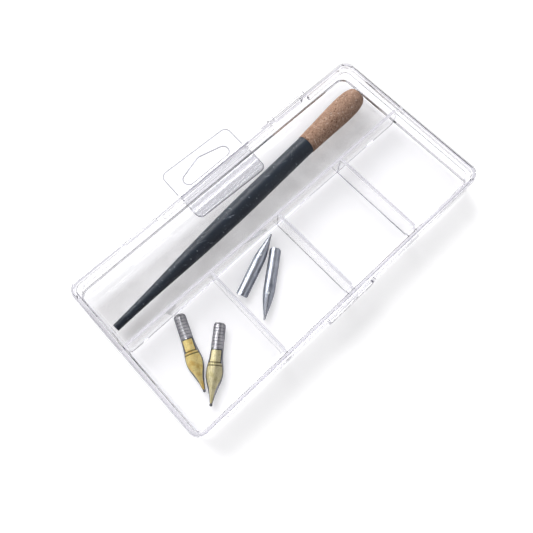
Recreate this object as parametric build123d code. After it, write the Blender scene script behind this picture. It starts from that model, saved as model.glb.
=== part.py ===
from build123d import *
from math import asin, atan2, cos, degrees, hypot, radians, sin, sqrt
import os

# Clear plastic box with a hinged lid, for a dip pen holder and its nibs.
# Millimetres. +X runs along the box, +Y towards the hinges, +Z up.
# The origin is the centre of the tray's underside.

# Box
box_length = 178.0
box_width = 90.0
outer_corner = 6.0
wall = 1.9
floor_thickness = 1.5
lid_thickness = 1.8
lid_edge_round = 1.4
floor_round = 3.5
foot_round = 0.6

# Dividers
divider = 1.5
divider_headroom = 0.5
pen_channel = 35.4
first_cell_extra = 9.6
divider_notch_depth = 2.2
divider_notch_drop = 3.7

# Lip under the lid, nested inside the tray's wall
lip_clearance = 0.3
lip_thickness = 1.7
lip_height = 2.3
lip_inner_corner = 4.0
lip_lead_in = 0.35

# Hinges
hinge_centre = 47.25
barrel_length = 18.5
barrel_radius = 1.4
ear_width = 2.5
ear_radius = 1.6
hinge_pin_radius = 0.8
hinge_pin_length = 1.9
hinge_pin_clearance = 0.05
hinge_side_clearance = 0.15
hinge_swing_clearance = 0.25
hinge_drop = 1.0
hinge_standoff = 0.1
lip_hinge_gap = 0.3
barrel_web_rise = 0.9
lid_wing_length = 16.7
lid_wing_projection = 1.3
lid_wing_lift = 0.3

# Latch and thumb ledges
latch_width = 27.6
latch_drop = 6.7
latch_thickness = 1.4
latch_clearance = 0.3
bead_radius = 0.5
bead_projection = 0.13
ridge_projection = 0.12
bead_above_end = 1.1
ridge_above_bead = 1.0
bead_length = 18.0
ledge_gap = 0.5
ledge_length = 29.2
ledge_thickness = 1.0
ledge_rib_pitch = 1.2
ledge_rib_width = 0.45
ledge_rib_depth = 0.3

# Hang tab stuck under the hinge side
tab_length = 43.6
tab_width = 32.6
tab_thickness = 0.4
tab_corner = 3.5
tab_overlap = 11.0
tab_offset = 1.3
tab_twist = -2.0
adhesive_thickness = 0.1
adhesive_margin = 0.6
slot_length = 28.8
slot_height = 9.0
slot_end_radius = 3.0
slot_crown_radius = 4.0
slot_from_wall = 7.9

# Pen holder
tail_gap = 2.7
nose_gap = 5.8
tail_from_divider = 11.4
nose_from_wall = 14.9
rest_gap = 0.1
tail_radius = 1.8
barrel_full_radius = 4.85
taper_length = 88.0
belly_from_tail = 76.0
belly_slimmer = 0.17
cork_headroom = 0.5
cork_length = 38.5
cork_step = 0.3
cork_swell = 1.15
cork_widest_from_joint = 27.5
cork_nose_land = 0.2
cork_nose_round_length = 5.5
cork_nose_taper = 0.2
cork_nose_shoulder = 2.0
cork_nose_shoulder_drop = 0.9
tenon_radius = 2.6
tenon_length = 14.0
glue_gap = 0.05
socket_radius = 3.6
socket_wall = 0.4
socket_length = 17.0
socket_rim = 0.5
socket_rim_height = 0.35
clip_gap = 0.45
clip_wall = 0.4
clip_length = 14.0
clip_base = 1.5
clip_slot = 1.1

# Nibs
nib_rest_gap = 0.1
nib_sheet = 0.35
slit_width = 0.12
reservoir_sheet = 0.28
reservoir_gap = 0.06

# The broad nib's outline from its shank end: along, half width, height of the crown
broad_nib_outline = [
    (0, 2.85, 2.6),
    (12.6, 2.95, 2.6),
    (15.6, 3.15, 2.58),
    (18.6, 3.55, 2.5),
    (20.6, 3.82, 2.43),
    (22.5, 3.95, 2.33),
    (24.5, 3.78, 2.17),
    (26.5, 3.3, 1.95),
    (28.5, 2.6, 1.7),
    (30.5, 1.92, 1.42),
    (33.0, 1.2, 1.08),
    (35.8, 0.65, 0.82),
]
# Half widths of the reservoir's tongue and leaf at the same places
tongue_half_widths = [2.2, 2.2, 2.3]
leaf_half_widths = [3.0, 3.35, 3.6, 3.35, 2.7, 1.85, 1.2, 0.78, 0.42]

# Where each nib lies: distance of its shank end from the cell's -X side and from the
# long divider, and its heading from shank to tip, in degrees from +X.
first_nib_place = (27.4, 1.4)
first_nib_heading = -112.3
second_nib_place = (38.7, 17.2)
second_nib_heading = -138.0
third_nib_place = (3.2, 14.4)
third_nib_heading = 22.3
fourth_nib_place = (31.0, 8.4)
fourth_nib_heading = -142.0

cork_joint_radius = barrel_full_radius + cork_step
cork_radius = cork_joint_radius + cork_swell
cork_nose_radius = socket_radius + socket_rim + cork_nose_land
belly_radius = barrel_full_radius - belly_slimmer
# The box is as deep as the cork grip needs.
inner_height = rest_gap + 2 * cork_radius + cork_headroom
inner_length = box_length - 2 * wall
inner_width = box_width - 2 * wall
inner_corner = outer_corner - wall
rim_height = floor_thickness + inner_height
lid_top = rim_height + lid_thickness
divider_top = rim_height - divider_headroom
cell_length = (inner_length - 3 * divider - first_cell_extra) / 4
first_cell_length = cell_length + first_cell_extra
long_divider_back = inner_width / 2 - pen_channel
long_divider_front = long_divider_back - divider
cell_starts = [-inner_length / 2]
for number in range(3):
    run = first_cell_length if number == 0 else cell_length
    cell_starts.append(cell_starts[-1] + run + divider)

hinge_y = box_width / 2 + hinge_standoff
hinge_z = rim_height - hinge_drop
lip_bottom = rim_height - lip_height
latch_inner_y = -(box_width / 2 + latch_clearance)
latch_bottom = rim_height - latch_drop
bead_z = latch_bottom + bead_above_end
ledge_start = latch_width / 2 + ledge_gap
ledge_projection = latch_clearance + latch_thickness


def span(x_low, x_high, y_low, y_high, z_low, z_high):
    """A box given by its limits."""
    size = (x_high - x_low, y_high - y_low, z_high - z_low)
    middle = Pos((x_low + x_high) / 2, (y_low + y_high) / 2, (z_low + z_high) / 2)
    return middle * Box(*size)


def rounded_block(size_x, size_y, radius, z_low, z_high):
    """An upright block with rounded corners."""
    return Pos(0, 0, z_low) * extrude(RectangleRounded(size_x, size_y, radius), z_high - z_low)


def rod(radius, x_low, x_high, y, z):
    """A round bar along X."""
    return Pos((x_low + x_high) / 2, y, z) * Rot(0, 90, 0) * Cylinder(radius, x_high - x_low)


def bottom_edges(solid):
    return solid.faces().sort_by(Axis.Z)[0].edges()


def top_edges(solid):
    return solid.faces().sort_by(Axis.Z)[-1].edges()


def hinge_ranges():
    """The stretch of X that each lid barrel takes between its two ears."""
    half = barrel_length / 2
    return [(side * hinge_centre - half, side * hinge_centre + half) for side in (-1, 1)]


def hinge_ear(x_low, x_high):
    """One ear on the tray: a round boss at the axis and a gusset down the wall."""
    boss = rod(ear_radius, x_low, x_high, hinge_y, hinge_z)
    root_y = box_width / 2 - wall / 2
    foot_z = hinge_z - 2 * ear_radius
    outline = Polyline(
        (x_low, root_y, foot_z),
        (x_low, box_width / 2, foot_z),
        (x_low, hinge_y + ear_radius * cos(radians(35)), hinge_z - ear_radius * sin(radians(35))),
        (x_low, hinge_y, hinge_z),
        (x_low, root_y, hinge_z),
        close=True,
    )
    gusset = extrude(make_face(outline), x_high - x_low, dir=(1, 0, 0))
    return boss + gusset


def base_tray():
    body = rounded_block(box_length, box_width, outer_corner, 0, rim_height)
    body = fillet(bottom_edges(body), foot_round)
    cavity = rounded_block(inner_length, inner_width, inner_corner, floor_thickness, lid_top)
    body -= fillet(bottom_edges(cavity), floor_round)

    into_wall = wall / 2
    low_z = floor_thickness / 2
    half_length = inner_length / 2 + into_wall
    front_y = -inner_width / 2 - into_wall
    body += span(-half_length, half_length, long_divider_front, long_divider_back, low_z, divider_top)
    for start in cell_starts[1:]:
        body += span(start - divider, start, front_y, long_divider_back, low_z, divider_top)

    # The dividers' ends are cut down to pass under the lid's lip.
    notch_z = rim_height - divider_notch_drop
    inset = 2 * divider_notch_depth
    ring = rounded_block(inner_length, inner_width, inner_corner, notch_z, lid_top)
    ring -= rounded_block(inner_length - inset, inner_width - inset, inner_corner, notch_z, lid_top)
    body -= ring

    for x_low, x_high in hinge_ranges():
        reach = hypot(barrel_radius, hinge_drop + barrel_web_rise)
        swing_bottom = hinge_z - reach + hinge_swing_clearance / 2
        back = box_width / 2 + ear_radius * 2
        body += hinge_ear(x_low - ear_width, x_low)
        body += hinge_ear(x_high, x_high + ear_width)
        body -= span(x_low, x_high, inner_width / 2 - wall / 4, back, swing_bottom, lid_top)
        hole_reach = ear_width + hinge_side_clearance
        body -= rod(
            hinge_pin_radius + hinge_pin_clearance, x_low - hole_reach, x_high + hole_reach, hinge_y, hinge_z
        )

    ridge_y = -box_width / 2 + bead_radius - ridge_projection
    body += rod(bead_radius, -bead_length / 2, bead_length / 2, ridge_y, bead_z + ridge_above_bead)
    return body


def lid():
    plate = rounded_block(box_length, box_width, outer_corner, rim_height, lid_top)
    plate = fillet(top_edges(plate), lid_edge_round)

    lip_length = inner_length - 2 * lip_clearance
    lip_width = inner_width - 2 * lip_clearance
    lip = rounded_block(lip_length, lip_width, inner_corner - lip_clearance, lip_bottom, rim_height)
    lip = chamfer(bottom_edges(lip), lip_lead_in)
    hollow_length = lip_length - 2 * lip_thickness
    hollow_width = lip_width - 2 * lip_thickness
    lip -= rounded_block(hollow_length, hollow_width, lip_inner_corner, lip_bottom, rim_height)
    for x_low, x_high in hinge_ranges():
        margin = ear_width + lip_hinge_gap
        lip -= span(x_low - margin, x_high + margin, 0, box_width / 2, lip_bottom, rim_height)
    body = plate + lip

    web_top = rim_height + barrel_web_rise
    for x_low, x_high in hinge_ranges():
        for ear_low in (x_low - ear_width, x_high):
            ear_high = ear_low + ear_width
            clear = hinge_side_clearance
            swing_radius = ear_radius + hinge_swing_clearance
            body -= rod(swing_radius, ear_low - clear, ear_high + clear, hinge_y, hinge_z)
        start = x_low + hinge_side_clearance
        end = x_high - hinge_side_clearance
        body += rod(barrel_radius, start, end, hinge_y, hinge_z)
        body += span(start, end, hinge_y - barrel_radius, hinge_y + barrel_radius, hinge_z, web_top)
        body += rod(hinge_pin_radius, start - hinge_pin_length, end + hinge_pin_length, hinge_y, hinge_z)

    # Wings beside the outer ears, raised to swing clear of the tray's wall.
    for side in (-1, 1):
        inner_end = hinge_centre + barrel_length / 2 + ear_width + lip_hinge_gap
        ends = sorted((side * inner_end, side * (inner_end + lid_wing_length)))
        back = box_width / 2 + lid_wing_projection
        wing_top = lid_top - lid_edge_round / 2
        body += span(*ends, box_width / 2 - wall, back, rim_height + lid_wing_lift, wing_top)

    # Latch: a plate hanging outside the front wall, with a bead that clicks under the ridge.
    front = latch_inner_y - latch_thickness
    half = latch_width / 2
    shoulder_z = lid_top - lid_edge_round / 2
    latch = span(-half, half, front, latch_inner_y, latch_bottom, shoulder_z)
    latch += span(-half, half, front, -box_width / 2 + wall, rim_height, shoulder_z)
    corners = latch.edges().filter_by(Axis.Y).group_by(Axis.Z)[0]
    latch = fillet(corners, latch_thickness)
    latch = fillet(latch.edges().filter_by(Axis.X).group_by(Axis.Z)[-1].sort_by(Axis.Y)[0], lid_edge_round / 2)
    bead_y = latch_inner_y - bead_radius + bead_projection
    body += latch + rod(bead_radius, -bead_length / 2, bead_length / 2, bead_y, bead_z)

    for side in (-1, 1):
        body += thumb_ledge(side)
    return body


def thumb_ledge(side):
    """A ribbed ledge along the lid's front edge, for lifting it."""
    ends = sorted((side * ledge_start, side * (ledge_start + ledge_length)))
    front = -box_width / 2 - ledge_projection
    top = lid_top - lid_edge_round / 2
    ledge = span(*ends, front, -box_width / 2 + wall, top - ledge_thickness, top)
    ledge = fillet(ledge.edges().filter_by(Axis.Z).group_by(Axis.Y)[0], ledge_projection / 2)
    rib_count = int((ledge_length - 2 * ledge_projection) // ledge_rib_pitch)
    first = (ends[0] + ends[1]) / 2 - (rib_count - 1) * ledge_rib_pitch / 2
    for number in range(rib_count):
        rib_x = first + number * ledge_rib_pitch
        half = ledge_rib_width / 2
        ledge -= span(rib_x - half, rib_x + half, front, front + ledge_rib_depth, 0, lid_top)
    return ledge


def tab_frame():
    """Place of the tab's middle, turned a little as it was stuck on."""
    middle_y = box_width / 2 - tab_overlap + tab_width / 2
    return Pos(tab_offset, middle_y, 0) * Rot(0, 0, tab_twist)


def hang_tab():
    low_z = -adhesive_thickness - tab_thickness
    sheet = tab_frame() * RectangleRounded(tab_length, tab_width, tab_corner)
    tab = Pos(0, 0, low_z) * extrude(sheet, tab_thickness)
    flat_y = box_width / 2 + slot_from_wall
    end_x = slot_length / 2 - slot_end_radius
    crown_y = flat_y + slot_height - slot_crown_radius
    outline = make_hull(
        (Pos(tab_offset - end_x, flat_y + slot_end_radius) * Circle(slot_end_radius)).edges()
        + (Pos(tab_offset + end_x, flat_y + slot_end_radius) * Circle(slot_end_radius)).edges()
        + (Pos(tab_offset, crown_y) * Circle(slot_crown_radius)).edges()
    )
    return tab - Pos(0, 0, low_z) * extrude(outline, tab_thickness)


def hang_tab_adhesive():
    """The film of adhesive between the tab and the tray's underside."""
    sheet = tab_frame() * RectangleRounded(
        tab_length - 2 * adhesive_margin, tab_width - 2 * adhesive_margin, tab_corner - adhesive_margin
    )
    film = Pos(0, 0, -adhesive_thickness) * extrude(sheet, adhesive_thickness)
    edge = box_width / 2 - foot_round
    return film & span(-box_length, box_length, 0, edge, -adhesive_thickness, 0)


tail_point_x = -inner_length / 2 + tail_gap
nose_point_x = inner_length / 2 - nose_gap
tail_point_y = long_divider_back + tail_from_divider
nose_point_y = inner_width / 2 - nose_from_wall
holder_length = hypot(nose_point_x - tail_point_x, nose_point_y - tail_point_y)
holder_heading = degrees(atan2(nose_point_y - tail_point_y, nose_point_x - tail_point_x))
joint_at = holder_length - cork_length
cork_widest_at = joint_at + cork_widest_from_joint
# The holder lies on its belly and on the widest part of the cork.
rest_slope = (cork_radius - belly_radius) / (cork_widest_at - belly_from_tail)
holder_pitch = degrees(asin(rest_slope))
tail_height = floor_thickness + rest_gap + belly_radius - rest_slope * belly_from_tail


def lay_holder(shape):
    """Move a piece drawn along +X from the tail into the pen channel."""
    place = Pos(tail_point_x, tail_point_y, tail_height)
    return place * Rot(0, 0, holder_heading) * Rot(0, -holder_pitch, 0) * shape


def turned(outline):
    """A solid of revolution about X from an outline in the XY plane."""
    return revolve(make_face(outline), Axis.X)


def holder_barrel():
    growth = barrel_full_radius - tail_radius
    side = Spline(
        (0, tail_radius),
        (0.28 * taper_length, tail_radius + 0.26 * growth),
        (0.52 * taper_length, tail_radius + 0.62 * growth),
        (0.75 * taper_length, tail_radius + 0.87 * growth),
        (taper_length, barrel_full_radius),
        tangents=((1, 0.02), (1, 0)),
    )
    rest = Polyline(
        (taper_length, barrel_full_radius),
        (joint_at, barrel_full_radius),
        (joint_at, tenon_radius),
        (joint_at + tenon_length, tenon_radius),
        (joint_at + tenon_length, 0),
        (0, 0),
        (0, tail_radius),
    )
    return lay_holder(turned(side + rest))


def holder_cork_grip():
    nose_start = cork_length - cork_nose_round_length
    side = Spline(
        (0, cork_joint_radius),
        (cork_widest_from_joint / 2, (cork_joint_radius + cork_radius) / 2),
        (cork_widest_from_joint, cork_radius),
        (nose_start, cork_radius - cork_nose_taper),
        tangents=((1, 0.03), (1, -0.09)),
    )
    shoulder = (cork_length - cork_nose_shoulder, cork_radius - cork_nose_shoulder_drop)
    nose_end = (cork_length, cork_nose_radius)
    nose = Spline(side @ 1, shoulder, nose_end, tangents=((1, -0.09), (1, -1.2)))
    tenon_bore = tenon_radius + glue_gap
    socket_bore = socket_radius + glue_gap
    socket_floor = cork_length - socket_length
    inside = Polyline(
        (cork_length, cork_nose_radius),
        (cork_length, socket_bore),
        (socket_floor, socket_bore),
        (socket_floor, tenon_bore),
        (0, tenon_bore),
        (0, cork_joint_radius),
    )
    return lay_holder(Pos(joint_at, 0, 0) * turned(side + nose + inside))


def holder_ferrule():
    """The metal socket that the nib's shank goes into."""
    bore = socket_radius - socket_wall
    tube = Cylinder(socket_radius, socket_length) - Cylinder(bore, socket_length)
    rim_at = Pos(0, 0, (socket_length + socket_rim_height) / 2)
    tube += rim_at * (Cylinder(socket_radius + socket_rim, socket_rim_height) - Cylinder(bore, socket_rim_height))
    middle = holder_length - socket_length / 2
    return lay_holder(Pos(middle, 0, 0) * Rot(0, 90, 0) * tube)


def holder_nib_clip():
    """Four spring fingers inside the socket, on a round base."""
    bore = socket_radius - socket_wall
    finger_radius = bore - clip_gap
    fingers = Cylinder(finger_radius, clip_length) - Cylinder(finger_radius - clip_wall, clip_length)
    for turn in (0, 90):
        fingers -= Rot(0, 0, turn) * Box(2 * bore, clip_slot, clip_length)
    base_at = Pos(0, 0, -(clip_length + clip_base) / 2)
    clip = fingers + base_at * Cylinder(bore - hinge_pin_clearance, clip_base)
    low_end = holder_length - socket_length + clip_base
    return lay_holder(Pos(low_end + clip_length / 2, 0, 0) * Rot(0, 90, 0) * clip)


def arch_face(along, half_width, edge_z, crown_z, sheet):
    """One cross-section of a curved sheet: an outer and an inner arc."""
    inner_half = max(half_width - sheet, half_width * 0.4)
    left, right = (along, -half_width, edge_z), (along, half_width, edge_z)
    inner_left, inner_right = (along, -inner_half, edge_z), (along, inner_half, edge_z)
    outline = [
        ThreePointArc(left, (along, 0, crown_z), right),
        Line(right, inner_right),
        ThreePointArc(inner_right, (along, 0, crown_z - sheet), inner_left),
        Line(inner_left, left),
    ]
    return make_face(Wire(outline))


def arched_strip(stations, sheet):
    """A curved sheet through stations of (along, half width, edge height, crown height)."""
    return loft([arch_face(*station, sheet) for station in stations], ruled=True)


def lay_nib(shape, cell, place, heading):
    """Lay a nib, drawn along +X from its shank end, in its cell."""
    x = cell_starts[cell] + place[0]
    y = long_divider_front - place[1]
    return Pos(x, y, floor_thickness + nib_rest_gap) * Rot(0, 0, heading) * shape


def reservoir_nib():
    """Steel broad nib: a half-tube shank, shoulders and a round foot at the tip."""
    stations = [(along, half_width, 0, crown) for along, half_width, crown in broad_nib_outline]
    body = arched_strip(stations, nib_sheet)
    foot = Pos(36.4, 0, 0.35) * Cylinder(0.7, 0.7)
    slit = span(26.0, 36.2, -slit_width / 2, slit_width / 2, -1, 4)
    return body - slit + foot


def over_nib(outline, half_width):
    """A station of a sheet that lies on the broad nib, a hair above its arch."""
    along, nib_half_width, nib_crown = outline
    nib_radius = (nib_half_width**2 + nib_crown**2) / (2 * nib_crown)
    radius = nib_radius + reservoir_gap + reservoir_sheet
    edge = nib_crown - nib_radius + sqrt(radius**2 - half_width**2)
    return (along, half_width, edge, nib_crown + reservoir_gap + reservoir_sheet)


def brass_reservoir():
    """Brass reservoir over the nib: a narrow tongue, two cross ribs and a leaf."""
    tongue_outline = broad_nib_outline[1:4]
    leaf_outline = broad_nib_outline[3:]
    tongue = arched_strip([over_nib(*pair) for pair in zip(tongue_outline, tongue_half_widths)], reservoir_sheet)
    leaf = arched_strip([over_nib(*pair) for pair in zip(leaf_outline, leaf_half_widths)], reservoir_sheet)
    ribs = arched_strip([(18.4, 3.0, 1.62, 3.05), (19.0, 3.0, 1.62, 3.05)], 0.4)
    ribs += arched_strip([(19.9, 3.1, 1.55, 3.05), (20.5, 3.1, 1.55, 3.05)], 0.4)
    return tongue + leaf + ribs


def pointed_nib(length, half_width):
    """Steel pointed nib: a half-tube body, pierced, that tapers to a split point."""
    body = arched_strip(
        [
            (0, half_width - 0.1, 0, 2.4),
            (0.5 * length, half_width, 0, 2.4),
            (0.58 * length, 0.99 * half_width, 0, 2.36),
            (0.64 * length, 0.95 * half_width, 0, 2.28),
            (0.7 * length, 0.86 * half_width, 0, 2.12),
            (0.76 * length, 0.73 * half_width, 0, 1.9),
            (0.82 * length, 0.57 * half_width, 0, 1.63),
            (0.88 * length, 0.4 * half_width, 0, 1.33),
            (0.94 * length, 0.22 * half_width, 0, 1.0),
            (length, 0.22, 0, 0.7),
        ],
        nib_sheet,
    )
    vent_at = 0.64 * length
    vent = Pos(vent_at, 0, 2) * Cylinder(0.55, 4)
    slit = span(vent_at, length + 1, -slit_width / 2, slit_width / 2, -1, 4)
    return body - vent - slit


def main():
    nib = reservoir_nib()
    reservoir = brass_reservoir()
    pieces = {
        "base_tray": base_tray(),
        "lid": lid(),
        "hang_tab": hang_tab(),
        "hang_tab_adhesive": hang_tab_adhesive(),
        "holder_barrel": holder_barrel(),
        "holder_cork_grip": holder_cork_grip(),
        "holder_ferrule": holder_ferrule(),
        "holder_nib_clip": holder_nib_clip(),
        "reservoir_nib_1": lay_nib(nib, 0, first_nib_place, first_nib_heading),
        "brass_reservoir_1": lay_nib(reservoir, 0, first_nib_place, first_nib_heading),
        "reservoir_nib_2": lay_nib(nib, 0, second_nib_place, second_nib_heading),
        "brass_reservoir_2": lay_nib(reservoir, 0, second_nib_place, second_nib_heading),
        "pointed_nib_1": lay_nib(pointed_nib(34.1, 2.95), 1, third_nib_place, third_nib_heading),
        "pointed_nib_2": lay_nib(pointed_nib(35.1, 2.85), 1, fourth_nib_place, fourth_nib_heading),
    }
    os.makedirs("parts", exist_ok=True)
    for name, shape in pieces.items():
        export_step(shape, f"parts/{name}.step")


main()
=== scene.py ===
import bpy
import math
from mathutils import Euler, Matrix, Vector


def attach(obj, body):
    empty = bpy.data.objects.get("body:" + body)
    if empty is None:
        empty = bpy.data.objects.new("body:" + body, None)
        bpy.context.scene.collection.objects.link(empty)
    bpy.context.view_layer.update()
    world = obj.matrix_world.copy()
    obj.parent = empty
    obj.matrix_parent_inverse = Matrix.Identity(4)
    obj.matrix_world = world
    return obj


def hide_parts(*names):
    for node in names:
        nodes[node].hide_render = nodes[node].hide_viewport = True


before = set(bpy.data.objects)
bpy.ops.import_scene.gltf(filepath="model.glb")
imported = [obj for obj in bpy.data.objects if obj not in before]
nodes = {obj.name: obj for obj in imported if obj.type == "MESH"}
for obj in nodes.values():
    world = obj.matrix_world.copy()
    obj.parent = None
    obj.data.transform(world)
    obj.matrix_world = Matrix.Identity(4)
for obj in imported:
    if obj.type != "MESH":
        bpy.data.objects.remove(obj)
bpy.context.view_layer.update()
mm = 0.001


def linearColour(code):
    # an sRGB hex value as Blender's linear colour
    parts = [int(code[i:i + 2], 16) / 255 for i in (1, 3, 5)]
    return tuple(c / 12.92 if c <= 0.04045 else ((c + 0.055) / 1.055) ** 2.4 for c in parts) + (1.0,)


def inRadians(angles):
    return [math.radians(angle) for angle in angles]


def addNode(tree, kind, inputs=None, **settings):
    # one node with its settings, and its inputs set to a value or linked to a socket
    node = tree.nodes.new(kind)
    for name, value in settings.items():
        setattr(node, name, value)
    for name, value in (inputs or {}).items():
        if isinstance(value, bpy.types.NodeSocket):
            tree.links.new(value, node.inputs[name])
        else:
            node.inputs[name].default_value = value
    return node


def newMaterial(name):
    material = bpy.data.materials.new(name)
    material.use_nodes = True
    material.node_tree.nodes.clear()
    return material, material.node_tree


def giveMaterial(piece, material):
    piece.data.materials.clear()
    piece.data.materials.append(material)


def combine(tree, operation, *values):
    # several values joined two by two
    result = values[0]
    for value in values[1:]:
        result = addNode(tree, "ShaderNodeMath", {0: result, 1: value}, operation=operation).outputs[0]
    return result


def absolute(tree, value):
    return addNode(tree, "ShaderNodeMath", {0: value}, operation="ABSOLUTE").outputs[0]


def spread(tree, value, start, end, low=0.0, high=1.0, smooth=False):
    # a value's run from start to end, as a run from low to high
    return addNode(tree, "ShaderNodeMapRange", {
        "Value": value, "From Min": start, "From Max": end, "To Min": low, "To Max": high},
        interpolation_type="SMOOTHSTEP" if smooth else "LINEAR").outputs[0]


def within(tree, value, low, high, soft=0.06):
    # 1 between two values, with soft edges, and 0 outside them
    up = spread(tree, value, low - soft, low + soft)
    down = spread(tree, value, high + soft, high - soft)
    return combine(tree, "MULTIPLY", up, down)


def below(tree, value, high):
    # the same for a value that is never negative, with no low side
    return within(tree, value, -1.0, high)


def noise(tree, vector, scale, detail, roughness=0.5):
    return addNode(tree, "ShaderNodeTexNoise", {
        "Vector": vector, "Scale": scale, "Detail": detail, "Roughness": roughness}).outputs["Fac"]


def mixColours(tree, factor, low, high, blend="MIX"):
    return addNode(tree, "ShaderNodeMix", {0: factor, 6: low, 7: high}, data_type="RGBA",
                   blend_type=blend).outputs[2]


def mixShaders(tree, factor, first, second):
    return addNode(tree, "ShaderNodeMixShader", {
        0: factor, 1: first.outputs[0], 2: second.outputs[0]}).outputs[0]


def ramp(tree, value, stops):
    # a colour ramp from (place, hex) pairs
    node = addNode(tree, "ShaderNodeValToRGB", {"Fac": value})
    while len(node.color_ramp.elements) < len(stops):
        node.color_ramp.elements.new(0.5)
    for element, (place, code) in zip(node.color_ramp.elements, stops):
        element.position = place
        element.color = linearColour(code)
    return node.outputs["Color"]


def localPlace(tree, place):
    # the piece's own axes, X from its near end, in mm
    where = addNode(tree, "ShaderNodeTexCoord")
    turned = addNode(tree, "ShaderNodeMapping", {
        "Vector": where.outputs["Object"], "Location": [c * mm for c in place["at"]],
        "Rotation": inRadians(place["turn"]), "Scale": (mm, mm, mm)}, vector_type="TEXTURE")
    return turned.outputs[0]


def stretched(tree, vector, scale, turn=(0, 0, 0)):
    # a pattern's coordinates turned and then scaled along each axis
    turned = addNode(tree, "ShaderNodeMapping", {"Vector": vector, "Rotation": inRadians(turn)},
                     vector_type="POINT")
    return addNode(tree, "ShaderNodeMapping", {"Vector": turned.outputs[0], "Scale": scale},
                   vector_type="POINT").outputs[0]


def lampRays(tree):
    # 1 for the rays that carry light on to what lies behind a clear wall
    path = addNode(tree, "ShaderNodeLightPath")
    return combine(tree, "MAXIMUM", path.outputs["Is Shadow Ray"], path.outputs["Is Diffuse Ray"])


def finishMaterial(tree, settings, height, strength, depth):
    # a Principled surface with a bump, its depth in mm
    bump = addNode(tree, "ShaderNodeBump", {"Height": height, "Strength": strength, "Distance": depth * mm})
    shader = addNode(tree, "ShaderNodeBsdfPrincipled", dict(settings, Normal=bump.outputs[0]))
    addNode(tree, "ShaderNodeOutputMaterial", {"Surface": shader.outputs[0]})


# Camera
camera = {
    "place": (-66.334 * mm, -63.811 * mm, 243.991 * mm),
    "turn": (17.930, 0.420, -43.181),
    "lens": 36.135,
    "sensor": 36.0,
    "clipStart": 10 * mm,
}


def placeCamera():
    data = bpy.data.cameras.new("camera")
    data.sensor_width = camera["sensor"]
    data.lens = camera["lens"]
    data.clip_start = camera["clipStart"]
    thing = bpy.data.objects.new("camera", data)
    bpy.context.scene.collection.objects.link(thing)
    thing.location = camera["place"]
    thing.rotation_euler = inRadians(camera["turn"])
    bpy.context.scene.camera = thing
    print("camera placed")


# Studio: a glowing floor under a light tent, whose foot ends and whose crown starts at these heights
studio = {
    "floorSize": 4.0,
    "floorDrop": 0.52 * mm,
    "floorColour": "#eaeaea",
    "floorGlow": 0.36,
    "glowThroughPlastic": 0.34,
    "skyFoot": "#8a8598",
    "skyBand": "#ffffff",
    "skyCrown": "#4c4a54",
    "footEnds": (0.02, 0.3),
    "crownStarts": (0.68, 0.84),
    "skyStrength": 0.95,
    "backdropStrength": 1.0,
    "sunFrom": (0.1, 0.76, 0.62),
    "sunStrength": 3.1,
    "sunWidth": 44.0,
    "bounces": {
        "max_bounces": 32,
        "glossy_bounces": 24,
        "transmission_bounces": 32,
        "transparent_max_bounces": 48,
    },
}


def buildFloor():
    bpy.ops.mesh.primitive_plane_add(size=studio["floorSize"], location=(0, 0, -studio["floorDrop"]))
    floor = bpy.context.object
    floor.name = "floor"
    material, tree = newMaterial("pale floor")
    path = addNode(tree, "ShaderNodeLightPath")
    throughPlastic = path.outputs["Is Transmission Ray"]
    seen = combine(tree, "MAXIMUM", path.outputs["Is Camera Ray"], path.outputs["Is Glossy Ray"],
                   throughPlastic)
    glow = combine(tree, "MULTIPLY", seen, studio["floorGlow"])
    # makes up, inside the clear box, for what its faces mirror away
    glow = addNode(tree, "ShaderNodeMath", {0: throughPlastic, 1: studio["glowThroughPlastic"], 2: glow},
                   operation="MULTIPLY_ADD")
    matt = addNode(tree, "ShaderNodeBsdfDiffuse", {"Color": linearColour(studio["floorColour"])})
    light = addNode(tree, "ShaderNodeEmission", {"Strength": glow.outputs[0]})
    both = addNode(tree, "ShaderNodeAddShader", {0: matt.outputs[0], 1: light.outputs[0]})
    addNode(tree, "ShaderNodeOutputMaterial", {"Surface": both.outputs[0]})
    giveMaterial(floor, material)


def buildSky():
    # the tent is dim along its foot and under its open crown
    world = bpy.data.worlds.new("studio")
    bpy.context.scene.world = world
    world.use_nodes = True
    tree = world.node_tree
    tree.nodes.clear()
    path = addNode(tree, "ShaderNodeLightPath")
    where = addNode(tree, "ShaderNodeTexCoord")
    height = addNode(tree, "ShaderNodeSeparateXYZ", {0: where.outputs["Generated"]}).outputs["Z"]
    rise = spread(tree, height, *studio["footEnds"], smooth=True)
    crown = spread(tree, height, *studio["crownStarts"], smooth=True)
    low = mixColours(tree, rise, linearColour(studio["skyFoot"]), linearColour(studio["skyBand"]))
    sky = mixColours(tree, crown, low, linearColour(studio["skyCrown"]))
    around = addNode(tree, "ShaderNodeBackground", {"Color": sky, "Strength": studio["skyStrength"]})
    plain = addNode(tree, "ShaderNodeBackground", {"Color": linearColour(studio["skyBand"]),
                                                   "Strength": studio["backdropStrength"]})
    pick = mixShaders(tree, path.outputs["Is Camera Ray"], around, plain)
    addNode(tree, "ShaderNodeOutputWorld", {"Surface": pick})


def buildStudio():
    buildFloor()
    buildSky()
    lamp = bpy.data.lights.new("softSun", "SUN")
    lamp.energy = studio["sunStrength"]
    lamp.angle = math.radians(studio["sunWidth"])
    thing = bpy.data.objects.new("softSun", lamp)
    bpy.context.scene.collection.objects.link(thing)
    thing.rotation_euler = Vector(studio["sunFrom"]).to_track_quat("Z", "Y").to_euler()

    bpy.context.scene.view_settings.view_transform = "Standard"
    # enough bounces for light that runs along inside the clear walls
    for name, count in studio["bounces"].items():
        setattr(bpy.context.scene.cycles, name, count)
    print("studio built")


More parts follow.
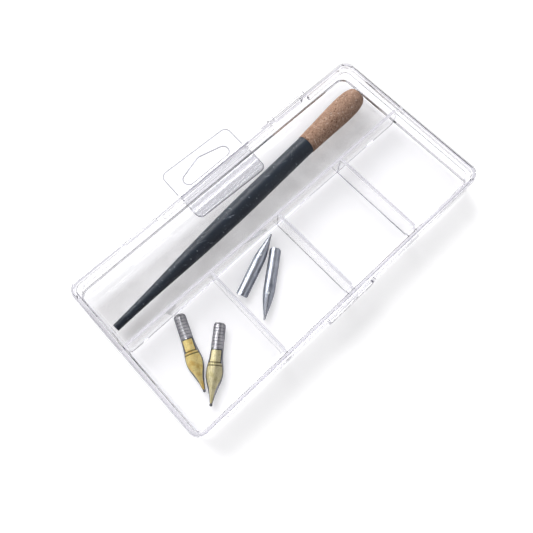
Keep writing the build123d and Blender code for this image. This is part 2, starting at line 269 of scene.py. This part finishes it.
# How a copy of a CAD node is cleaned: points within weld mm are merged, faces within flat degrees
# are joined, and edges sharper than crease degrees stay sharp
cleaning = {
    "weld": 0.002,
    "flat": 0.3,
    "crease": 24,
}


def objectMode():
    bpy.ops.object.mode_set(mode="OBJECT")


def smoothBelow(angle):
    bpy.ops.object.shade_smooth_by_angle(angle=math.radians(angle))


def near(value, goal, reach=0.01):
    # whether a measure in mm is the wanted one, but for rounding
    return abs(value - goal) < reach


def copyNode(node, name):
    # a copy of a CAD node with its loose triangles merged into clean faces
    bpy.ops.object.select_all(action="DESELECT")
    piece = bpy.data.objects.new(name, nodes[node].data.copy())
    bpy.context.scene.collection.objects.link(piece)
    piece.select_set(True)
    bpy.context.view_layer.objects.active = piece
    bpy.ops.object.mode_set(mode="EDIT")
    bpy.ops.mesh.customdata_custom_splitnormals_clear()
    bpy.ops.mesh.select_all(action="SELECT")
    bpy.ops.mesh.remove_doubles(threshold=cleaning["weld"] * mm)
    bpy.ops.mesh.dissolve_limited(angle_limit=math.radians(cleaning["flat"]))
    bpy.ops.mesh.select_all(action="DESELECT")
    objectMode()
    smoothBelow(cleaning["crease"])
    return piece


def selectPoints(piece, wanted):
    # edit mode with the points chosen by their place in mm
    bpy.context.view_layer.objects.active = piece
    bpy.ops.object.mode_set(mode="EDIT")
    bpy.ops.mesh.select_mode(type="VERT")
    bpy.ops.mesh.select_all(action="DESELECT")
    objectMode()
    for point in piece.data.vertices:
        point.select = wanted(*(point.co / mm))
    bpy.ops.object.mode_set(mode="EDIT")


def everywhere(x, y, z):
    return True


def axisOf(place):
    # where a piece's own X axis starts, and which way it runs
    turn = Euler(inRadians(place["turn"])).to_matrix()
    return Vector(place["at"]) * mm, turn @ Vector((1, 0, 0))


def finishPiece(piece, body, node, material):
    objectMode()
    giveMaterial(piece, material)
    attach(piece, body)
    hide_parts(node)
    print(piece.name, len(piece.data.vertices), "points")


# Clear injection-moulded polystyrene: glass-clear, with a grey violet cast where it is seen edge on.
# The holder's channel lies between two edges in Y, and its floor is below channelTop; all in mm.
polystyrene = {
    "ior": 1.59,
    "bodyColour": "#ffffff",
    "castColour": "#b4b1c2",
    "castDensity": 36.0,
    "flatShade": "#fefefe",
    "wallShade": "#cfcfcf",
    "channelShadeColour": "#e1e0df",
    "channelShadeSize": 11.0,
    "channelShadeSpread": (0.25, 0.7),
    "channelShadeLeast": 0.55,
    "channelFront": (8.0, 10.0),
    "channelBack": (36.0, 31.0),
    "channelTop": 2.0,
    "dustSpacing": 13.0,
    "dustSize": 0.36,
    "dustColour": "#7c7771",
}


def mouldedPolystyrene():
    material, tree = newMaterial("moulded clear polystyrene")
    # lamps reach what is inside, a little less through upright walls than through the flat lid and floor
    normal = addNode(tree, "ShaderNodeNewGeometry").outputs["Normal"]
    level = absolute(tree, addNode(tree, "ShaderNodeSeparateXYZ", {0: normal}).outputs["Z"])
    shade = mixColours(tree, level, linearColour(polystyrene["wallShade"]),
                       linearColour(polystyrene["flatShade"]))
    through = addNode(tree, "ShaderNodeBsdfTransparent", {"Color": shade})
    # painted shade of the holder on the floor of its channel: a faint uneven grey
    where = addNode(tree, "ShaderNodeTexCoord").outputs["Object"]
    spot = addNode(tree, "ShaderNodeSeparateXYZ", {0: where})
    front = [edge * mm for edge in polystyrene["channelFront"]]
    back = [edge * mm for edge in polystyrene["channelBack"]]
    inside = spread(tree, spot.outputs["Y"], *front, smooth=True)
    outside = spread(tree, spot.outputs["Y"], *back, smooth=True)
    low = combine(tree, "LESS_THAN", spot.outputs["Z"], polystyrene["channelTop"] * mm)
    shadeMottle = noise(tree, where, 1 / (polystyrene["channelShadeSize"] * mm), 2.0)
    channelShade = spread(tree, shadeMottle, *polystyrene["channelShadeSpread"], polystyrene["channelShadeLeast"], 1.0)
    channelShade = combine(tree, "MULTIPLY", channelShade, inside, outside, low)
    tint = mixColours(tree, channelShade, linearColour(polystyrene["bodyColour"]),
                      linearColour(polystyrene["channelShadeColour"]))
    # a few specks of dust, a third of a millimetre across
    motes = addNode(tree, "ShaderNodeTexVoronoi", {
        "Vector": where, "Scale": 1 / (polystyrene["dustSpacing"] * mm)}).outputs["Distance"]
    mote = combine(tree, "LESS_THAN", motes, polystyrene["dustSize"] / 2 / polystyrene["dustSpacing"])
    tint = mixColours(tree, mote, tint, linearColour(polystyrene["dustColour"]))
    clear = addNode(tree, "ShaderNodeBsdfPrincipled", {
        "Base Color": tint, "Roughness": 0.0, "IOR": polystyrene["ior"], "Transmission Weight": 1.0})
    pick = mixShaders(tree, lampRays(tree), clear, through)
    body = addNode(tree, "ShaderNodeVolumeAbsorption", {
        "Color": linearColour(polystyrene["castColour"]), "Density": polystyrene["castDensity"]})
    addNode(tree, "ShaderNodeOutputMaterial", {"Surface": pick, "Volume": body.outputs[0]})
    return material


# The lid rests on the rim of the tray with a hair of air between, which is what draws its bright line.
# Sizes are in mm, and crease in degrees.
box = {
    "rimHeight": 14.7,
    "lidTop": 16.5,
    "edgeRound": 1.0,
    "edgeSteps": 4,
    "halfLength": 89.0,
    "halfWidth": 45.0,
    "airGap": 0.03,
    "hingeBack": 46.5,
    "hingeTop": 15.6,
    "hingeRound": 1.45,
    "hingeSteps": 9,
    "crease": 30,
}


def roundFoot(piece):
    # the mould leaves no sharp edge round the tray's foot: rings cut into the wall and drawn in
    radius = box["edgeRound"]
    rings = [math.radians(90 * step / box["edgeSteps"]) for step in range(box["edgeSteps"] + 1)]
    selectPoints(piece, everywhere)
    for ring in rings[1:]:
        bpy.ops.mesh.select_all(action="SELECT")
        bpy.ops.mesh.bisect(plane_co=(0, 0, radius * (1 - math.cos(ring)) * mm), plane_no=(0, 0, 1))
    objectMode()
    for ring in rings[:-1]:
        height = radius * (1 - math.cos(ring))
        inset = radius * (1 - math.sin(ring))
        selectPoints(piece, lambda x, y, z: near(z, height, 0.005))
        bpy.ops.transform.resize(value=(1 - inset / box["halfLength"], 1 - inset / box["halfWidth"], 1),
                                 center_override=(0, 0, 0))
        objectMode()
    smoothBelow(box["crease"])


def buildBox():
    clear = mouldedPolystyrene()
    tray = copyNode("base_tray", "clearTray")
    roundFoot(tray)
    finishPiece(tray, "tray", "base_tray", clear)
    lid = copyNode("lid", "clearLid")
    selectPoints(lid, lambda x, y, z: near(z, box["rimHeight"]))
    bpy.ops.transform.translate(value=(0, 0, box["airGap"] * mm))
    objectMode()
    # the hinge barrels are rounded over, so that they pass light as a rod does
    selectPoints(lid, lambda x, y, z: near(y, box["hingeBack"], 0.02) and near(z, box["hingeTop"], 0.02))
    bpy.ops.mesh.bevel(offset=box["hingeRound"] * mm, segments=box["hingeSteps"], affect="EDGES",
                       clamp_overlap=False)
    selectPoints(lid, lambda x, y, z: near(z, box["lidTop"]))
    bpy.ops.mesh.bevel(offset=box["edgeRound"] * mm, segments=box["edgeSteps"], affect="EDGES")
    objectMode()
    smoothBelow(box["crease"])
    finishPiece(lid, "lid", "lid", clear)
    print("box built")


# Clear vinyl film of the tab, calendered: a little greyer than the box, with a soft wavy gloss.
# The glue under it is squeezed in height about glueTop, in mm.
tabFilm = {
    "ior": 1.54,
    "roughness": 0.02,
    "filmColour": "#f4f4f6",
    "cutShadeColour": "#74747f",
    "cutEdgeWidth": 0.75,
    "glueColour": "#f7f7f8",
    "glueSqueeze": 0.8,
    "glueTop": -0.05,
    "waveLength": 9.0,
    "waveHeight": 0.05,
    "waveStrength": 0.4,
}


def calenderedFilm(name, code):
    material, tree = newMaterial(name)
    where = addNode(tree, "ShaderNodeTexCoord").outputs["Object"]
    wave = noise(tree, where, 1 / (tabFilm["waveLength"] * mm), 1.0)
    bump = addNode(tree, "ShaderNodeBump", {"Height": wave, "Strength": tabFilm["waveStrength"],
                                            "Distance": tabFilm["waveHeight"] * mm})
    # painted shade along the cut edges, grey where light is lost at the cut
    cut = addNode(tree, "ShaderNodeAttribute", attribute_name="cutEdge")
    tint = mixColours(tree, cut.outputs["Fac"], linearColour(code), linearColour(tabFilm["cutShadeColour"]))
    through = addNode(tree, "ShaderNodeBsdfTransparent", {"Color": linearColour(code)})
    film = addNode(tree, "ShaderNodeBsdfPrincipled", {
        "Base Color": tint, "Roughness": tabFilm["roughness"], "IOR": tabFilm["ior"],
        "Transmission Weight": 1.0, "Normal": bump.outputs[0]})
    pick = mixShaders(tree, lampRays(tree), film, through)
    addNode(tree, "ShaderNodeOutputMaterial", {"Surface": pick})
    return material


def buildTab():
    tab = copyNode("hang_tab", "hangTab")
    # a narrow ring round the outline and the slot, which carries the painted edge shade, greyest at the cut
    # itself
    level, upright = 0.9, 0.5
    selectPoints(tab, lambda x, y, z: False)
    bpy.ops.mesh.select_mode(type="FACE")
    objectMode()
    for face in tab.data.polygons:
        face.select = abs(face.normal.z) > level
    bpy.ops.object.mode_set(mode="EDIT")
    bpy.ops.mesh.inset(thickness=tabFilm["cutEdgeWidth"] * mm, use_boundary=True, use_even_offset=True)
    objectMode()
    cut = tab.data.attributes.new("cutEdge", "FLOAT", "POINT")
    for face in tab.data.polygons:
        if abs(face.normal.z) < upright:
            for corner in face.vertices:
                cut.data[corner].value = 1.0
    finishPiece(tab, "tray", "hang_tab",
                calenderedFilm("calendered clear vinyl film", tabFilm["filmColour"]))
    glue = copyNode("hang_tab_adhesive", "tabAdhesive")
    selectPoints(glue, everywhere)
    bpy.ops.transform.resize(value=(1, 1, tabFilm["glueSqueeze"]),
                             center_override=(0, 0, tabFilm["glueTop"] * mm))
    finishPiece(glue, "tray", "hang_tab_adhesive",
                calenderedFilm("clear acrylic adhesive", tabFilm["glueColour"]))
    print("tab built")


# Where the holder lies, at mm and turned in degrees, as the frame has it
holderPlace = {"at": (-84.4, 19.1, 4.721), "turn": (0, -1.176, 3.143)}

# Turned beech under dipped cellulose lacquer: blue black and satin, with pale rubbed scratches and specks.
# Each set of scratches has its turn in degrees, its scale along and across, and how bright a noise shows.
lacquer = {
    "coat": "#141e28",
    "worn": "#222e3a",
    "cloudScale": 0.12,
    "scratch": "#b4bec6",
    "scratches": (
        ((0, 0, 24), 0.07, 1.5, 0.665),
        ((0, 0, -38), 0.1, 1.9, 0.68),
        ((30, 20, 75), 0.12, 1.6, 0.685),
    ),
    "scratchFade": 0.05,
    "scratchShare": 0.75,
    "scratchRoughness": 0.7,
    "speckSpacing": 2.9,
    "speckEdge": (0.1, 0.07),
    "grainStretch": (0.15, 2.5, 2.5),
    "grainStrength": 0.25,
    "grainDepth": 0.03,
    "roughness": 0.44,
    "ior": 1.4,
}


def lacqueredWood():
    material, tree = newMaterial("dipped satin lacquer on turned beech")
    local = localPlace(tree, holderPlace)
    cloud = noise(tree, local, lacquer["cloudScale"], 4.0, 0.6)
    colour = mixColours(tree, cloud, linearColour(lacquer["coat"]), linearColour(lacquer["worn"]))
    marks = []
    for turn, along, across, limit in lacquer["scratches"]:
        lines = noise(tree, stretched(tree, local, (along, across, across), turn), 1.0, 3.0, 0.65)
        marks.append(spread(tree, lines, limit, limit + lacquer["scratchFade"]))
    dots = addNode(tree, "ShaderNodeTexVoronoi", {"Vector": local, "Scale": 1 / lacquer["speckSpacing"]})
    marks.append(spread(tree, dots.outputs["Distance"], *lacquer["speckEdge"]))
    marks = combine(tree, "MAXIMUM", *marks)
    soft = combine(tree, "MULTIPLY", marks, lacquer["scratchShare"])
    colour = mixColours(tree, soft, colour, linearColour(lacquer["scratch"]))
    dull = spread(tree, marks, 0.0, 1.0, lacquer["roughness"], lacquer["scratchRoughness"])
    grain = noise(tree, stretched(tree, local, lacquer["grainStretch"]), 1.0, 3.0)
    finishMaterial(tree, {"Base Color": colour, "Roughness": dull, "IOR": lacquer["ior"]},
                   combine(tree, "SUBTRACT", grain, marks), lacquer["grainStrength"], lacquer["grainDepth"])
    return material


# Agglomerated cork, ground smooth: granules of about half a millimetre in tan and brown, with dark
# bark flecks. Sizes are in mm; outside is how far from the axis the ground surface starts, past the bore.
corkGrip = {
    "granule": 0.6,
    "cellsPerGranule": 1.85,
    "warpScale": 1.4,
    "warp": 0.45,
    "shades": ((0.0, "#a5826a"), (0.35, "#b8947b"), (0.7, "#c5a088"), (1.0, "#d5b49b")),
    "mottle": ((0.3, "#b9b3ad"), (0.7, "#ffffff")),
    "mottleScale": 5.0,
    "mottleShare": 0.75,
    "bark": "#77563f",
    "barkFrom": (0.9, 0.96),
    "flour": "#d8c3b0",
    "flourFrom": (0.955, 0.975),
    "roughness": 0.82,
    "ior": 1.45,
    "gloss": 0.3,
    "bumpStrength": 0.5,
    "bumpDepth": 0.12,
    "voxel": 0.2,
    "outside": 5.0,
    "seamSpacing": 1.3,
    "seamDepth": 0.07,
    "pitSpacing": 2.4,
    "pitEdge": (0.03, 0.16),
    "pitDepth": 0.25,
}


def pressedCork():
    material, tree = newMaterial("ground agglomerated cork")
    local = localPlace(tree, holderPlace)
    warp = addNode(tree, "ShaderNodeTexNoise", {
        "Vector": local, "Scale": corkGrip["warpScale"], "Detail": 2.0})
    bent = addNode(tree, "ShaderNodeMix", {0: corkGrip["warp"], 4: local, 5: warp.outputs["Color"]},
                   data_type="VECTOR").outputs[1]
    grains = addNode(tree, "ShaderNodeTexVoronoi", {
        "Vector": bent, "Scale": corkGrip["cellsPerGranule"] / corkGrip["granule"]})
    tone = addNode(tree, "ShaderNodeSeparateColor", {"Color": grains.outputs["Color"]})
    colour = ramp(tree, tone.outputs[0], corkGrip["shades"])
    fine = noise(tree, local, corkGrip["mottleScale"], 5.0, 0.7)
    mottle = ramp(tree, fine, corkGrip["mottle"])
    colour = mixColours(tree, corkGrip["mottleShare"], colour, mottle, "MULTIPLY")
    bark = spread(tree, tone.outputs[1], *corkGrip["barkFrom"])
    colour = mixColours(tree, bark, colour, linearColour(corkGrip["bark"]))
    flour = spread(tree, tone.outputs[2], *corkGrip["flourFrom"])
    colour = mixColours(tree, flour, colour, linearColour(corkGrip["flour"]))
    finishMaterial(tree, {"Base Color": colour, "Roughness": corkGrip["roughness"], "IOR": corkGrip["ior"],
                          "Specular IOR Level": corkGrip["gloss"]},
                   fine, corkGrip["bumpStrength"], corkGrip["bumpDepth"])
    return material


def fromAxis(point, axis):
    start, way = axis
    off = point - start
    return (off - way * off.dot(way)).length


def pushIn(piece, texture, depth):
    # pushes the outside in by up to its depth in mm, where the texture is dark
    push = piece.modifiers.new("displace", "DISPLACE")
    push.texture = texture
    push.texture_coords = "LOCAL"
    push.strength = depth * mm
    push.mid_level = 1.0
    push.vertex_group = "outside"
    bpy.ops.object.modifier_apply(modifier="displace")


def buildCork():
    cork = copyNode("holder_cork_grip", "corkGrip")
    remesh = cork.modifiers.new("voxels", "REMESH")
    remesh.mode = "VOXEL"
    remesh.voxel_size = corkGrip["voxel"] * mm
    bpy.ops.object.modifier_apply(modifier="voxels")
    axis = axisOf(holderPlace)
    outside = [p.index for p in cork.data.vertices if fromAxis(p.co, axis) > corkGrip["outside"] * mm]
    cork.vertex_groups.new(name="outside").add(outside, 1.0, "REPLACE")
    # how much further the second nearest granule is than the nearest, which is nothing along a seam
    seams = bpy.data.textures.new("granule seams", "VORONOI")
    seams.noise_scale = corkGrip["seamSpacing"] * corkGrip["granule"] * mm
    seams.weight_1 = -1.0
    seams.weight_2 = 1.0
    pushIn(cork, seams, corkGrip["seamDepth"])
    pits = bpy.data.textures.new("pits", "VORONOI")
    pits.noise_scale = corkGrip["pitSpacing"] * mm
    pits.use_color_ramp = True
    blackToWhite = ((0, 0, 0, 1), (1, 1, 1, 1))
    for element, place, colour in zip(pits.color_ramp.elements, corkGrip["pitEdge"], blackToWhite):
        element.position = place
        element.color = colour
    pushIn(cork, pits, corkGrip["pitDepth"])
    bpy.ops.object.shade_smooth()
    finishPiece(cork, "pen_holder", "holder_cork_grip", pressedCork())


# Cross grooves rolled into the upper face of the broad nibs' shanks, so that they hold in the socket
grooves = {
    "first": 0.9,
    "pitch": 0.76,
    "count": 15,
    "width": 0.36,
    "depth": 0.09,
    "upperFace": 0.3,
}

# Cold-rolled spring steel, blanked and pressed: blue grey, with fine rolling lines, and painted shade along
# its low edges for the dark reflections seen there. The broad nibs are a duller roll of it, and the holder's
# tinned parts are inked.
springSteel = {
    "face": "#bcc1ca",
    "tarnish": "#7c8491",
    "rolledFace": "#bebdc0",
    "rolledTarnish": "#78777b",
    "roughness": 0.26,
    "dullerBy": 0.16,
    "tarnishStretch": (0.3, 1.0, 1.0),
    "tarnishScale": 0.6,
    "tarnishFrom": (0.42, 0.75),
    "lineStretch": (0.25, 7.0, 7.0),
    "lineSpread": (0.3, 0.7),
    "lineStrength": 0.2,
    "lineDepth": 0.02,
    "shadeAndInkColour": "#3f444e",
    "edgeShadeBelow": 1.7,
    "edgeShadeMost": 0.85,
}
inkedTin = {
    "face": "#8b8c90",
    "tarnish": "#4f5056",
    "roughness": 0.35,
}

# Ink dried on the broad nibs, and the painted shadow in the seam round their brass tongue, in mm from the
# near end and from the middle line
inkAndSeamShade = {
    "onBrass": "#4a4228",
    "seamAside": (2.1, 2.65),
    "seamAlong": (12.0, 18.3),
    "seamEnd": (11.95, 12.6),
    "groovesAlong": (0.7, 11.8),
    "grooveShare": 0.4,
    "grooveStrength": 0.7,
    "firstRib": (17.8, 18.35),
    "secondRib": (19.15, 19.7),
    "ribStrength": 0.85,
}


def seamShadeAndInk(tree, spot):
    # painted shadow in the seam round the brass tongue
    along = spot.outputs["X"]
    aside = absolute(tree, spot.outputs["Y"])
    sides = combine(tree, "MULTIPLY", within(tree, aside, *inkAndSeamShade["seamAside"]),
                    within(tree, along, *inkAndSeamShade["seamAlong"]))
    end = combine(tree, "MULTIPLY", below(tree, aside, inkAndSeamShade["seamAside"][1]),
                  within(tree, along, *inkAndSeamShade["seamEnd"]))
    # and dried ink in every second groove of the shank
    turn = combine(tree, "PINGPONG", combine(tree, "SUBTRACT", along, grooves["first"]), grooves["pitch"])
    rings = combine(tree, "MULTIPLY", below(tree, turn, grooves["width"] * inkAndSeamShade["grooveShare"]),
                    within(tree, along, *inkAndSeamShade["groovesAlong"]), inkAndSeamShade["grooveStrength"])
    return sides, end, rings


def rolledSteel(name, place, face, tarnish, roughness, shadedEdges=False, tongue=False):
    material, tree = newMaterial(name)
    local = localPlace(tree, place)
    drawn = stretched(tree, local, springSteel["tarnishStretch"])
    cloud = noise(tree, drawn, springSteel["tarnishScale"], 5.0, 0.65)
    patch = spread(tree, cloud, *springSteel["tarnishFrom"])
    colour = mixColours(tree, patch, linearColour(face), linearColour(tarnish))
    if shadedEdges:
        spot = addNode(tree, "ShaderNodeSeparateXYZ", {0: local})
        # painted shade: darker towards the low edges of the blank
        shadeAndInk = spread(tree, spot.outputs["Z"], springSteel["edgeShadeBelow"], 0.0, 0.0, springSteel["edgeShadeMost"])
        if tongue:
            # on the broad nibs, also the painted shadow in the seam and the dried ink in the grooves
            shadeAndInk = combine(tree, "MAXIMUM", shadeAndInk, *seamShadeAndInk(tree, spot))
        colour = mixColours(tree, shadeAndInk, colour, linearColour(springSteel["shadeAndInkColour"]))
    lines = noise(tree, stretched(tree, local, springSteel["lineStretch"]), 1.0, 3.0)
    dull = spread(tree, lines, *springSteel["lineSpread"], roughness, roughness + springSteel["dullerBy"])
    finishMaterial(tree, {"Base Color": colour, "Metallic": 1.0, "Roughness": dull},
                   lines, springSteel["lineStrength"], springSteel["lineDepth"])
    return material


def buildHolder():
    barrel = copyNode("holder_barrel", "barrel")
    finishPiece(barrel, "pen_holder", "holder_barrel", lacqueredWood())
    buildCork()
    dark = rolledSteel("tinned steel, dulled by ink", holderPlace, **inkedTin)
    for node in ("holder_ferrule", "holder_nib_clip"):
        giveMaterial(nodes[node], dark)
    print("holder built")


# Pressed sheet brass: one bright and golden, one dulled towards olive by handling and old ink
brasses = {
    "brass_reservoir_1": {"face": "#f2de96", "warm": "#dcb868", "tarnish": "#a8924e", "roughness": 0.36},
    "brass_reservoir_2": {"face": "#cfc7a0", "warm": "#bdb488", "tarnish": "#8e8768", "roughness": 0.44},
}
brassPattern = {
    "warmScale": 0.35,
    "warmFrom": (0.48, 0.66),
    "stainScale": 1.6,
    "stainFrom": (0.56, 0.72),
    "dullSpread": (0.3, 0.8),
    "dullerBy": 0.2,
    "stainStrength": 0.3,
    "stainDepth": 0.03,
}


def pressedBrass(name, place, values):
    material, tree = newMaterial(name)
    local = localPlace(tree, place)
    cloud = noise(tree, local, brassPattern["warmScale"], 4.0)
    warm = spread(tree, cloud, *brassPattern["warmFrom"])
    colour = mixColours(tree, warm, linearColour(values["face"]), linearColour(values["warm"]))
    stain = noise(tree, local, brassPattern["stainScale"], 5.0, 0.7)
    blot = spread(tree, stain, *brassPattern["stainFrom"])
    colour = mixColours(tree, blot, colour, linearColour(values["tarnish"]))
    # ink dried along the two cross ribs
    along = addNode(tree, "ShaderNodeSeparateXYZ", {0: local}).outputs["X"]
    ink = combine(tree, "MAXIMUM", within(tree, along, *inkAndSeamShade["firstRib"]),
                  within(tree, along, *inkAndSeamShade["secondRib"]))
    ink = combine(tree, "MULTIPLY", ink, inkAndSeamShade["ribStrength"])
    colour = mixColours(tree, ink, colour, linearColour(inkAndSeamShade["onBrass"]))
    dull = spread(tree, stain, *brassPattern["dullSpread"],
                  values["roughness"], values["roughness"] + brassPattern["dullerBy"])
    finishMaterial(tree, {"Base Color": colour, "Metallic": 1.0, "Roughness": dull},
                   stain, brassPattern["stainStrength"], brassPattern["stainDepth"])
    return material


# The loose nibs: where each lies, at mm and turned in degrees, as the frame has it,
# and half the width of its near end
nibs = {
    "reservoir_nib_1": {"name": "broadNib1", "body": "first_reservoir_nib",
                        "at": (-59.7, 4.8, 1.6), "turn": (0, 0, -112.3), "halfWidth": 2.85},
    "reservoir_nib_2": {"name": "broadNib2", "body": "second_reservoir_nib",
                        "at": (-48.4, -11.0, 1.6), "turn": (0, 0, -138.0), "halfWidth": 2.85},
    "pointed_nib_1": {"name": "pointedNib1", "body": "first_pointed_nib",
                      "at": (-32.775, -8.2, 1.6), "turn": (0, 0, 22.3), "halfWidth": 2.95},
    "pointed_nib_2": {"name": "pointedNib2", "body": "second_pointed_nib",
                      "at": (-4.975, -2.2, 1.6), "turn": (0, 0, -142.0), "halfWidth": 2.85},
}

# The near end of every shank has its corners rounded off, in flats at these angles
shankEnd = {
    "round": 1.6,
    "angles": (22.5, 45.0, 67.5),
}


def roundShank(piece, nib):
    start, way = axisOf(nib)
    aside = Vector((-way.y, way.x, 0))
    radius = shankEnd["round"] * mm
    selectPoints(piece, everywhere)
    for side in (aside, -aside):
        middle = start + way * radius + side * (nib["halfWidth"] * mm - radius)
        for angle in inRadians(shankEnd["angles"]):
            normal = side * math.sin(angle) - way * math.cos(angle)
            bpy.ops.mesh.select_all(action="SELECT")
            bpy.ops.mesh.bisect(plane_co=middle + normal * radius, plane_no=normal, use_fill=True,
                                clear_outer=True)
    objectMode()
    smoothBelow(cleaning["crease"])


def cutGrooves(piece, nib):
    start, way = axisOf(nib)
    middles = [grooves["first"] + number * grooves["pitch"] for number in range(grooves["count"])]
    selectPoints(piece, everywhere)
    for middle in middles:
        for step in (-0.5, 0.0, 0.5):
            bpy.ops.mesh.select_all(action="SELECT")
            bpy.ops.mesh.bisect(plane_co=start + way * (middle + step * grooves["width"]) * mm, plane_no=way)
    objectMode()

    def inGroove(x, y, z):
        along = (Vector((x, y, z)) * mm - start).dot(way) / mm
        onTop = z > nib["at"][2] + grooves["upperFace"]
        return onTop and any(near(along, middle, 0.02) for middle in middles)
    selectPoints(piece, inGroove)
    bpy.ops.transform.shrink_fatten(value=-grooves["depth"] * mm)
    objectMode()


def buildNibs():
    for node, nib in nibs.items():
        broad = node.startswith("reservoir")
        steel = rolledSteel("rolled spring steel of " + nib["name"], nib,
                            springSteel["rolledFace" if broad else "face"],
                            springSteel["rolledTarnish" if broad else "tarnish"],
                            springSteel["roughness"], shadedEdges=True, tongue=broad)
        piece = copyNode(node, nib["name"])
        roundShank(piece, nib)
        if broad:
            cutGrooves(piece, nib)
        finishPiece(piece, nib["body"], node, steel)
    for number, slot in ((1, "bright_brass"), (2, "dull_brass")):
        node = f"brass_reservoir_{number}"
        nib = nibs[f"reservoir_nib_{number}"]
        brass = pressedBrass(f"pressed brass of reservoir {number}", nib, brasses[node])
        reservoir = copyNode(node, f"reservoir{number}")
        finishPiece(reservoir, nib["body"], node, brass)
    print("nibs built")


placeCamera()
buildStudio()
buildBox()
buildTab()
buildHolder()
buildNibs()
